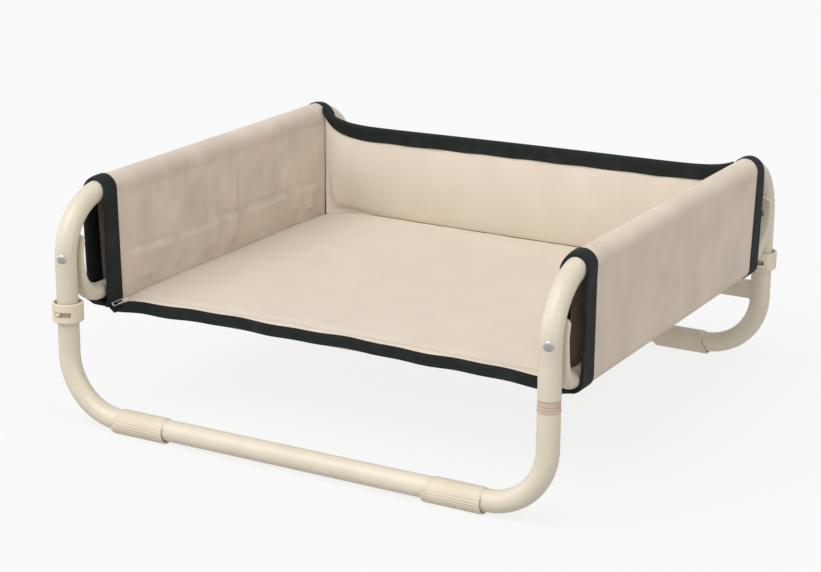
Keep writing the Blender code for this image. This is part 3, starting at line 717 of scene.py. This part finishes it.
wall_cloth = {
    "right": woven("sand cloth, right wall", (0.600, 0.500, 0.400), (0.725, 0.608, 0.495), "UV"),
    # The left wall is the same cloth as the right, but its colour reaches darker: painted shade on
    # its inside face, which turns away from the lamps.
    "left": woven("sand cloth, left wall, painted shade", (0.530, 0.447, 0.364), (0.725, 0.614, 0.505), "UV"),
}


def wall_surface(way, faces):
    """The sleeve, pushed out along its normals by the relief of its inside and outside faces."""
    y = wall_places()[:, None]
    shells = []
    for away in (cloth_thick, 0.0):
        x, z, out_x, out_z, inside, outside = wall_section(y, away + 0 * y)
        ease = smooth((y + swivel_cloth - tape_wide) / 0.02)
        ease = ease * smooth((dock_cloth - tape_wide - y) / 0.02)
        top = top_z - tube_drop(y)
        ease = ease * smooth((top - z) / 0.012) * smooth((z - rail_z + 0.008) / 0.014)
        push = inside * faces[0](way * y, z) + outside * faces[1](way * y, z)
        push = push * ease / 1000
        places = y - pulled(y, z)
        shells.append(np.dstack([x + push * out_x, places, z + push * out_z]))
    return np.concatenate([shells[0], shells[1][::-1]])


def measure(points, extra):
    """Lengths in metres along the rows, and from row to row, of a grid closed into a ring."""
    ring = np.concatenate([points, points[:, :1]], axis=1)
    around = np.linalg.norm(np.diff(ring, axis=1), axis=2).cumsum(axis=1)
    around = np.concatenate([np.zeros_like(around[:, :1]), around], axis=1)
    middle = len(points) // 4
    ring_v = np.broadcast_to(around[middle], around.shape)
    ring_u = np.broadcast_to(np.reshape(extra, (-1, 1)), around.shape)
    both = np.dstack([ring_u, ring_v])
    return np.concatenate([both, both[:1]])


wall_faces = {"right": (plain_face, right_outside), "left": (left_inside, plain_face)}
for side, way in sides.items():
    points = wall_surface(way, wall_faces[side])
    piece = make(
        f"{side}_wall_cloth", points * (way, way, 1), wall_cloth[side], f"{side}_side",
        loop=True, cloth=measure(points, points[:, 0, 1]), sharp=80,
    )
    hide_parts(f"{side}_wall_sleeve")

# End tapes. Black ribbed tape, folded over the raw ends of the side walls and sewn through in
# two rows close to its edges.
tape_thick = 0.0009
tape_black = (0.008, 0.012, 0.011)
tape_worn = (0.022, 0.029, 0.027)
tape_rib = 0.0012
tape_flare = 0.035  # the tapes' inner edges slant by this share of the height about flare_z
flare_z = 0.180
fold_out = 0.5 * cloth_thick + gap + tape_thick


def ribbed_tape(name):
    """Ribs across the tape, and a sewn row of short stitches 2.2 mm inside each free edge."""
    tape = Finish(name, {"Sheen Weight": 0.05, "Specular IOR Level": 0.2})
    along, across, _ = tape.parts(tape.places("UV"))
    ribs = (along * (tau / tape_rib)).sine()
    row = 1 - abs(across - 0.0022).eased(0.0002, 0.0005)
    stitches = row * (along * (tau / 0.0030)).sine().eased(-0.5, 0.1)
    wear = tape.noise(tape.places(), 60.0, 4.0)
    shade = wear.eased(0.35, 0.75) * 0.6 + 0.15 * ribs + 0.5 * stitches
    tape.look({
        "Base Color": tape.between(shade.eased(0.0, 1.0), tape_black, tape_worn),
        "Roughness": 0.70 + 0.15 * wear,
    })
    tape.raised(ribs * (1 - row) + 2.5 * stitches - 1.2 * row, 0.00012)
    return tape


def folded(start, end, half_out, thick):
    """Outline of a tape folded over an edge, as (distance from the middle, place along).

    It runs up one leg, round a half circle and down the other, then back along its inner face.
    Also gives the distance of each point from the nearer free edge.
    """
    turn = np.linspace(0, pi, 11)
    places = np.linspace(start, end - half_out, 9)
    parts = []
    for size in (half_out, half_out - thick):
        out = np.concatenate([size + 0 * places, size * np.cos(turn[1:-1]), -size + 0 * places])
        far = np.concatenate([
            places, end - half_out + size * np.sin(turn[1:-1]), places[::-1],
        ])
        parts.append(np.stack([out, far], axis=1))
    outline = np.concatenate([parts[0], parts[1][::-1]])
    run = np.linalg.norm(np.diff(parts[0], axis=0), axis=1).cumsum()
    run = np.concatenate([[0], run])
    run = np.minimum(run, run[-1] - run)
    return outline, np.concatenate([run, run[::-1]])


black_tape = ribbed_tape("black ribbed tape")
for side, way in sides.items():
    for end, place, cloth_end in zip(ends[side], (-1, 1), (swivel_cloth, dock_cloth)):
        outline, edge_run = folded(
            cloth_end - tape_wide, cloth_end + gap + tape_thick, fold_out, tape_thick
        )
        y = place * outline[:, 1]
        x, z, *_ = wall_section(y, outline[:, 0] + 0.5 * cloth_thick)
        inner = smooth((cloth_end + 0.004 - outline[:, 1]) / 0.010)[:, None]
        flare = (flare_z - z) * tape_flare * inner
        lie = y[:, None]
        points = np.dstack([x, lie - place * flare - pulled(lie, z), z])
        measured = measure(points, edge_run)[..., ::-1]
        piece = make(
            f"{side}_{end}_end_tape", points * (way, way, 1), black_tape,
            f"{side}_side", loop=True, cloth=measured, sharp=60,
        )
        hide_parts(f"{side}_{end}_tape")

# Seat. A padded panel of the same cloth with thin wadding, sewn to the foot of the walls, sagging
# a little between the rails. Its front edge is rolled over a fuller strip of wadding.
seat_x = 0.2598
seat_y = 0.2095
front_bow = 0.010
rear_belly = 0.020
corner_in = 0.022
edge_x = seat_x * (1 - corner_in)
seat_top = 0.1190
seat_thick = 0.0095
roll_half = 0.0073
nose = 0.0070
sag = 0.0050
rear_square = 24  # power of the rear edge's bulge, nearly a straight line with round ends


def eased_places(count):
    """Places from -1 to 1, closer together towards both ends."""
    return np.sin(np.linspace(-pi / 2, pi / 2, count))


def bowed(x, power):
    return 1 - np.minimum(np.abs(x) / edge_x, 1) ** power


def seat_front(x):
    return front_bow * bowed(x, 2) - seat_y


def seat_back(x):
    return seat_y + rear_belly * bowed(x, rear_square)


def seat_surface():
    """A closed pad: its middle layer plus and minus half its thickness.

    The middle sags as (1 - u^2)(1 - 0.8 v^2). The half thickness falls to nothing at the sides
    and the rear as the root of 1 - u^14, and ends in a quarter ellipse at the front.
    """
    u, v = np.meshgrid(eased_places(151), eased_places(131), indexing="ij")
    x = seat_x * u * (1 - corner_in * v**8)
    front = seat_front(edge_x * u)
    y = front + (1 + v) / 2 * (seat_back(edge_x * u) - front)
    ahead = y - front
    middle = seat_top - seat_thick / 2 - sag * (1 - u**2) * (1 - 0.8 * v**2)
    middle = middle - 0.0025 * hump(x, -seat_x, 0.022) * hump(y, -seat_y, 0.030)
    middle = middle + 0.0022 * u**16
    side = np.sqrt(1 - u**14)
    rear = np.sqrt(1 - np.where(v > 0, v, 0) ** 30)
    roll = seat_thick / 2 + (roll_half - seat_thick / 2) * hump(ahead, 0, 0.013)
    tip = np.sqrt(1 - (1 - np.minimum(ahead / nose, 1)) ** 2)
    thick = roll * side * rear * tip
    still = side * rear
    relief = 0.55 * slack(x, y, 1.2) + 0.35 * slack(y, 1.7 * x, 3.3)
    relief = relief - 0.7 * hump(ahead, 0.019, 0.005) + 0.3 * hump(ahead, 0.034, 0.010)
    tucks = np.sin(tau * y / 0.030 + 2 * np.sin(y * 40)) * hump(np.abs(x), seat_x, 0.030)
    relief = (relief + 0.5 * tucks) * still / 1000 * smooth(ahead / 0.012)
    top = np.dstack([x, y, middle + thick + relief])
    hem = 0.0018 * hump(x, -0.040, 0.120) * hump(ahead, 0, 0.012) * tip
    under = np.dstack([x, y, middle - thick - hem + 0.6 * relief])
    return np.concatenate([top, under[:, ::-1]], axis=1)


def closing(piece):
    """Gives the piece its own copy of its mesh."""
    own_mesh(piece)


seat_cloth = woven("sand seat cloth", (0.665, 0.575, 0.470), (0.725, 0.635, 0.525), "Object")
seat = make("seat_pad", seat_surface(), seat_cloth, "right_side", sharp=70)
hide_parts("seat_panel")
closing(seat)

# Rear wall. A lightly padded panel of the same cloth, sewn to the seat's rear edge and to the rear
# ends of the side walls. It leans forward a little and bellies, with puckers at its seams.
rear_x = 0.2560
rear_y = 0.2028
rear_belly_low = 0.0225
taken_up = 0.42  # how much of that belly is gone at the top edge
rear_low_z = 0.1178
rear_top_z = 0.2318
rear_tilt = 0.0040
rear_dip = 0.0020
rear_peak = 0.2452
peak_reach = 0.018
rear_thick = 0.0050


def rear_top(x):
    """Height of the top edge, which climbs to the walls' tops as e to the distance from the end."""
    u = x / rear_x
    height = rear_top_z + rear_tilt * u - rear_dip * (1 - u**2)
    peak = rear_peak - 0.0020 * (u > 0)
    return height + (peak - height) * np.exp((np.abs(x) - rear_x) / peak_reach)


def rear_foot(x):
    return rear_low_z - 0.2 * sag * (1 - (x / rear_x) ** 2)


def rear_middle(x, rise):
    at_top = (1 - taken_up) * (1 - (x / rear_x) ** 2)
    lower = (1 - rise) ** 2
    return rear_y + rear_belly_low * (lower * bowed(x, rear_square) + (1 - lower) * at_top)


def rear_relief(x, rise, z):
    """Relief in mm towards the bed: belly, slack, a ridge at each end, and slanting corner folds.

    At its foot each corner is drawn back, further at the left end.
    """
    relief = 2.6 * np.sin(pi * np.clip(rise, 0, 1)) ** 1.2 + 0.6 * slack(x, z, 0.9)
    for end, strong, tuck in ((-1, 0.4, 11.0), (1, 0.8, 3.0)):
        inward = rear_x - end * x
        lift = z - 0.118
        off = np.maximum(lift, 0.001)
        corner = inward * off / (inward + off)
        near = np.exp(-((inward / 0.040) ** 2) - (lift / 0.048) ** 2)
        relief = relief - tuck * near * (1 - smooth((corner - 0.001) / 0.006))
        relief = relief + strong * 1.5 * hump(inward, 0.010 + 0.06 * lift, 0.005)
        relief = relief - strong * 1.2 * hump(inward, 0.020 + 0.10 * lift, 0.006)
        folds = np.sin(tau * (inward - 0.55 * lift) / 0.017)
        relief = relief + strong * 0.9 * folds * hump(inward - 0.55 * lift, 0.030, 0.022) * (
            np.exp(-lift / 0.035)
        )
        relief = relief + strong * 0.5 * np.sin(tau * (inward + 0.8 * (0.232 - z)) / 0.026) * (
            hump(inward, 0.035, 0.03) * hump(z, 0.205, 0.018)
        )
    puckers = np.sin(tau * x / 0.034 + 1.5 * np.sin(x * 31))
    return relief + 0.22 * puckers * hump(rise, 0.85, 0.10)


def rear_surface():
    """A closed panel: front face up, back face down, drawn together at its foot and its ends."""
    u, rise = np.meshgrid(eased_places(161), 0.5 + 0.5 * eased_places(49), indexing="ij")
    x = rear_x * u
    top = rear_top(x) - 0.0022
    z = rear_foot(x) + rise * (top - rear_foot(x))
    edge = np.sqrt(1 - u**30) * np.sqrt(np.clip(1 - (1 - rise) ** 14, 0, 1))
    edge = edge * np.sqrt(np.clip(1 - rise**40, 0, 1))
    thick = edge * rear_thick / 2
    belly = edge * rear_relief(x, rise, z) / 1000
    middle = rear_middle(x, rise)
    front = np.dstack([x, middle - thick - belly, z])
    back = np.dstack([x, middle + thick - 0.5 * belly, z])
    return np.concatenate([front, back[:, ::-1]], axis=1)


rear_cloth = woven("sand rear cloth", (0.735, 0.660, 0.558), (0.795, 0.722, 0.620), "UV")
points = rear_surface()
ring = np.concatenate([points, points[:, :1]], axis=1)
measured = np.dstack([ring[..., 0], ring[..., 2]])
rear_wall = make(
    "rear_wall_cloth", points, rear_cloth, "right_side", cloth=measured, sharp=70
)
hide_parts("rear_panel")
closing(rear_wall)

# Top band. The same black tape, folded over the rear wall's top edge, its ends turned up over the
# side walls' end tapes and drawn narrow there.
band_high = 0.0160
band_taken = 0.75  # how much of its height is lost at the ends, and over what length
band_taper = 0.012
band_x = 0.2578
band_gap = rear_thick / 2 + 2 * gap
band_half = band_gap + tape_thick


def capped(points):
    """The grid with one more row at each end, drawn together to the middle of the row beside it."""
    middles = points.mean(axis=1, keepdims=True) + 0 * points
    return np.concatenate([middles[:1], points, middles[-1:]])


def band_surface():
    """The folded outline carried along the top edge, each point as deep as the wall lies there."""
    x = band_x * eased_places(171)[:, None]
    outline, edge_run = folded(-band_high, gap + tape_thick, band_half, tape_thick)
    top = rear_top(x)
    taken = 1 - band_taken * np.exp((np.abs(x) - band_x) / band_taper)
    z = top + np.where(outline[:, 1] < 0, taken, 1) * outline[:, 1]
    rise = (z - rear_foot(x)) / (top - gap - rear_foot(x))
    wave = 0.00035 * np.sin(tau * x / 0.061) * (outline[:, 1] < -0.010)
    y = rear_middle(x, rise) - outline[:, 0] - 0.0011 * np.sin(pi * np.clip(rise, 0, 1))
    points = np.dstack([x + 0 * z, y, z + wave])
    ring_run = np.concatenate([edge_run, edge_run[:1]])
    along = np.broadcast_to(x, (len(x), len(ring_run)))
    return points, np.dstack([along, np.broadcast_to(ring_run, along.shape)])


points, measured = band_surface()
measured = np.concatenate([measured[:1], measured, measured[-1:]])
band = make(
    "rear_band_tape", capped(points), black_tape, "right_side", cloth=measured, sharp=60
)
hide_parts("rear_top_band")
closing(band)

# Edge straps. Black webbing sewn flat along the seat's front and rear edges, where it takes the
# pull between the side frames. The front one ends at the slider.
strap_z = 0.1135
strap_thick = 0.0016
strap_wide = 0.0127
strap_left = -0.2600
strap_right = 0.2560
tail_left = -0.2895  # the strap's sewn end runs on under the left wall
tail_right = -0.2535


def flat_strap(x, back, middle, wide):
    """A thin rounded upright section, |out|^4 + |up|^4 = 1, carried along a line of places."""
    out, up = superellipse(32, 0.5)
    out = out * strap_thick / 2
    up = up / 2 * wide[:, None]
    x = x[:, None]
    y = back[:, None] + out + 0 * up
    z = middle[:, None] + up
    points = capped(np.dstack([x + 0 * y, y, z]))
    run = (0.5 - np.abs(up[0]) / wide[0]) * strap_wide
    run = np.concatenate([run, run[:1]])
    along = np.concatenate([x[:1], x, x[-1:]])
    measured = np.dstack([along + 0 * run, np.broadcast_to(run, (len(along), len(run)))])
    return points, measured


# The front strap hangs with the seat, waves a little and is drawn narrow at the slider.
strap_x = strap_left + (strap_right - strap_left) * np.linspace(0, 1, 190) ** 1.3
strap_wave = 0.0007 * np.sin(tau * strap_x / 0.150 + 0.7) + 0.0004 * np.sin(tau * strap_x / 0.061)
strap_middle = seat_top - seat_thick / 2 - 0.2 * sag * (1 - (strap_x / seat_x) ** 2) + 0.0006
strap_middle = strap_middle - 0.0030 * hump(strap_x, strap_left, 0.026) + strap_wave
strap_dip = hump(strap_x, tail_right, 0.007)
strap_middle = strap_middle - 0.0021 * strap_dip
strap_width = strap_wide - 0.0042 * strap_dip
strap_width = strap_width + 0.0008 * hump(strap_x, -0.19, 0.03)
front_place = seat_front(strap_x) - gap - strap_thick / 2
points, measured = flat_strap(strap_x, front_place, strap_middle, strap_width)
strap = make(
    "front_edge_strap", points, black_tape, "right_side", cloth=measured, sharp=60
)
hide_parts("front_strap")
closing(strap)
strap_x = edge_x * eased_places(120)
rear_place = seat_back(strap_x) + gap + strap_thick / 2
strap_middle = strap_z + 0.0008 * np.sin(tau * strap_x / 0.17)
points, measured = flat_strap(strap_x, rear_place, strap_middle, strap_wide + 0 * strap_x)
strap = make(
    "rear_edge_strap", points, black_tape, "right_side", cloth=measured, sharp=60
)
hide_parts("rear_strap")
closing(strap)

# Slider. A small flat loop of plated wire at the strap's left end, which tightens it. The strap's
# sewn end runs on from it as a flat ribbon under the left wall's foot.
slider_half = (0.0019, 0.0098)
slider_wire = 0.0006
slider_corner = 0.6 * slider_half[0]
slider_place = (0.2515, 0.2145, 0.1178)
slider_tilt = radians(45)
tail_y = -0.2122
tail_z = 0.1128
tail_half = 0.0070


def wire_loop(steps=14, around=14):
    """A circle of the wire's size carried round a rectangle with quarter-circle corners."""
    quarter = np.arange(4)[:, None]
    angle = (quarter * pi / 2 + np.linspace(0, pi / 2, steps)).ravel()[:, None]
    right = np.where((quarter == 0) | (quarter == 3), 1, -1)
    ahead = np.where(quarter < 2, 1, -1)
    centre_x = np.repeat(right * (slider_half[0] - slider_corner), steps)[:, None]
    centre_y = np.repeat(ahead * (slider_half[1] - slider_corner), steps)[:, None]
    turn = np.arange(around) * tau / around
    away = slider_corner + slider_wire * np.cos(turn)
    x = centre_x + away * np.cos(angle)
    y = centre_y + away * np.sin(angle)
    z = np.broadcast_to(slider_wire * np.sin(turn), x.shape)
    return np.dstack([x, y, z])


def strap_tail(steps=40):
    """The strap's sewn end: a flat ribbon that hangs a little below the wall's foot.

    Its line rises at the outer end, where it is sewn to the wall, and drops at the slider.
    """
    x = np.linspace(tail_left, tail_right, steps)
    rise = 0.0036 * smooth((tail_left + 0.0105 - x) / 0.0105)
    drop = 0.0052 * smooth((x - tail_right + 0.009) / 0.009)
    z = tail_z + rise - drop
    way = np.stack([np.gradient(x), np.gradient(z)], axis=1)
    way /= np.linalg.norm(way, axis=1)[:, None]
    wide, out = superellipse(32, 0.5)
    wide = wide * tail_half
    out = out * strap_thick / 2
    points = np.dstack([
        x[:, None] - way[:, 1:] * out,
        tail_y + wide + 0 * x[:, None],
        z[:, None] + way[:, :1] * out,
    ])
    points = capped(points)
    run = np.concatenate([tail_half - np.abs(wide), [0]])
    along = np.linspace(0, 0.04, len(points))[:, None]  # about the tail's length
    return points, np.dstack([along + 0 * run, run + 0 * along])


points, measured = strap_tail()
make("strap_tail", points, black_tape, "left_side", cloth=measured, sharp=60)
tilted = np.array(Matrix.Rotation(-slider_tilt, 3, "Y"))
loop_points = (wire_loop() @ tilted.T + slider_place) * (-1, -1, 1)
piece = make("slider_loop", loop_points, steel, "left_side", loop=True)
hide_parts("strap_slider")

# The picture. A plain pale floor that glows a little, a pale surrounding, one wide soft lamp from
# above the front and weak fills from both sides, seen from the front right and a little above.
floor_grey = 0.11
floor_glow = 0.82
floor_half = 40.0
floor_corners = [
    (x * floor_half, y * floor_half, 0) for x, y in ((-1, -1), (1, -1), (1, 1), (-1, 1))
]
floor = bpy.data.objects.new("floor", bpy.data.meshes.new("floor"))
floor.data.from_pydata(floor_corners, [], [(0, 1, 2, 3)])
floor_finish = Finish("pale floor", {
    "Base Color": (floor_grey, floor_grey, floor_grey, 1), "Roughness": 0.9,
    "Specular IOR Level": 0.0, "Emission Color": (1, 1, 1, 1), "Emission Strength": floor_glow,
})
floor.data.materials.append(floor_finish.material)
bpy.context.scene.collection.objects.link(floor)

floor.visible_diffuse = False  # the surrounding lights the bed from below, not the floor
floor.visible_glossy = False

world = bpy.data.worlds.new("even surrounding")
world.use_nodes = True
sky = world.node_tree
sky.nodes["Background"].inputs["Color"].default_value = (1, 1, 1, 1)
facing = sky.nodes.new("ShaderNodeTexCoord")
split = sky.nodes.new("ShaderNodeSeparateXYZ")
climb = sky.nodes.new("ShaderNodeMapRange")
for socket, value in (("From Min", -0.35), ("From Max", 0.20), ("To Min", 0.58), ("To Max", 0.62)):
    climb.inputs[socket].default_value = value  # a little stronger above than below
sky.links.new(facing.outputs["Generated"], split.inputs[0])
sky.links.new(split.outputs["Z"], climb.inputs["Value"])
sky.links.new(climb.outputs[0], sky.nodes["Background"].inputs["Strength"])
bpy.context.scene.world = world
for name, way, strength, spread in (
    ("soft lamp from the front", (-0.16, -0.60, 0.78), 1.98, 50),
    ("low fill from the right", (0.91, -0.32, 0.24), 0.45, 30),
    ("low fill from the left", (-0.93, -0.30, 0.20), 0.60, 40),
    ("small lamp from above the right", (0.60, -0.25, 0.76), 0.15, 18),
):
    lamp = bpy.data.lights.new(name, "SUN")
    lamp.energy = strength
    lamp.angle = radians(spread)
    holder = bpy.data.objects.new(name, lamp)
    holder.rotation_euler = (-Vector(way)).to_track_quat("-Z", "Y").to_euler()
    bpy.context.scene.collection.objects.link(holder)

azimuth, elevation, distance = radians(28.76), radians(16.64), 2.258
aim_z = 0.1265
camera_roll = radians(0.55)
picture_wide = 821
focal_pixels = 2116.7
shift_pixels = (-20.4, -7.4)
sensor_wide = 36
back = Vector((
    sin(azimuth) * cos(elevation), -cos(azimuth) * cos(elevation), sin(elevation)
))
camera = bpy.data.objects.new("camera", bpy.data.cameras.new("camera"))
camera.data.sensor_width = sensor_wide
camera.data.lens = sensor_wide * focal_pixels / picture_wide
camera.data.shift_x = shift_pixels[0] / picture_wide
camera.data.shift_y = shift_pixels[1] / picture_wide
camera.location = Vector((0, 0, aim_z)) + back * distance
camera.rotation_mode = "QUATERNION"
roll = Matrix.Rotation(camera_roll, 4, "Z").to_quaternion()
camera.rotation_quaternion = (-back).to_track_quat("-Z", "Y") @ roll
bpy.context.scene.collection.objects.link(camera)
bpy.context.scene.camera = camera
bpy.context.scene.view_settings.view_transform = "Standard"
